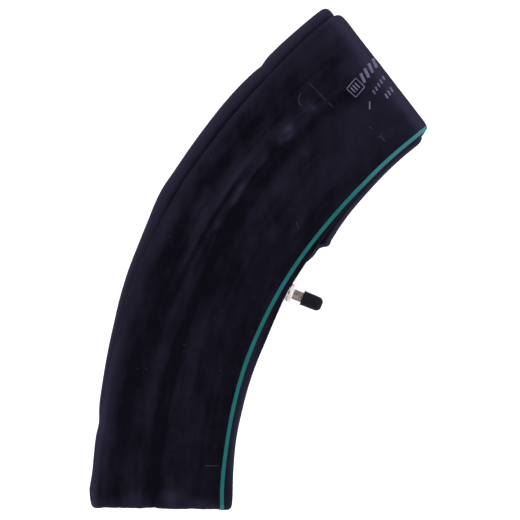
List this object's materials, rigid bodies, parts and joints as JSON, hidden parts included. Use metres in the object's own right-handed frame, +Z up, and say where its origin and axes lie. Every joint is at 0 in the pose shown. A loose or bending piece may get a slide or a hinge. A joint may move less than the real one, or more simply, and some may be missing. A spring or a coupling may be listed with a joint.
{
  "type": "inner tube",
  "caption": "Motorcycle or moped inner tube, deflated and folded in four into a curved band, with a coloured stripe and a metal valve with nut and dust cap.",
  "frame": {"origin": "middle of the underside of the folded tube, on the surface it lies on", "axes": "+Z up from the surface it lies on; +Y from the near end's wide fold to the far end's two small folds; +X towards the side the band curves to, where the valve stands"},
  "size_m": [0.236, 0.3624, 0.028],
  "materials": {
    "tube_rubber": "satin, with a faint bloom of talc",
    "stripe_rubber": "satin green",
    "patch_rubber": "matt",
    "nickelled_brass": "dull nickel plate",
    "plated_steel": "bright plate",
    "brass": "bare",
    "spring_steel": "bright",
    "seal_rubber": "matt",
    "cap_plastic": "matt black"
  },
  "bodies": {
    "tube": {"tube_carcass": "tube_rubber", "green_stripe": "stripe_rubber", "valve_base_patch": "patch_rubber", "valve_stem": "nickelled_brass", "core_plug": "brass", "core_barrel": "brass", "barrel_gasket": "seal_rubber", "core_spring": "spring_steel"},
    "washer": {"base_washer": "plated_steel"},
    "nut": {"rim_nut": "plated_steel"},
    "pin": {"core_pin": "spring_steel", "plunger_cup": "brass", "cup_seal": "seal_rubber"},
    "cap_liner": {"cap_seal": "seal_rubber"},
    "cap": {"cap_shell": "cap_plastic"}
  },
  "joints": [
    {"name": "nut_travel", "type": "slide", "parent": "tube", "child": "washer", "axis": [0.9259, -0.3778, 0], "range_m": [0, 0.00635]},
    {"name": "nut_turn", "type": "hinge", "parent": "washer", "child": "nut", "pos_m": [0.02279, -0.02586, 0.0095], "axis": [0.9259, -0.3778, 0], "range_deg": [0, 2881]},
    {"name": "cap_travel", "type": "slide", "parent": "tube", "child": "cap_liner", "axis": [0.9259, -0.3778, 0], "range_m": [0, 0.0115]},
    {"name": "cap_turn", "type": "hinge", "parent": "cap_liner", "child": "cap", "pos_m": [0.0376, -0.0319, 0.0095], "axis": [0.9259, -0.3778, 0], "range_deg": [0, 5220]},
    {"name": "pin_press", "type": "slide", "parent": "tube", "child": "pin", "axis": [-0.9259, 0.3778, 0], "range_m": [0, 0.0015], "stiffness_N_per_m": 300, "springref_m": -0.004, "deforming": ["core_spring"]}
  ],
  "couplings": [
    {"joint": "nut_turn", "follows": "nut_travel", "rad_per_m": 7915.8},
    {"joint": "cap_turn", "follows": "cap_travel", "rad_per_m": 7915.8}
  ]
}
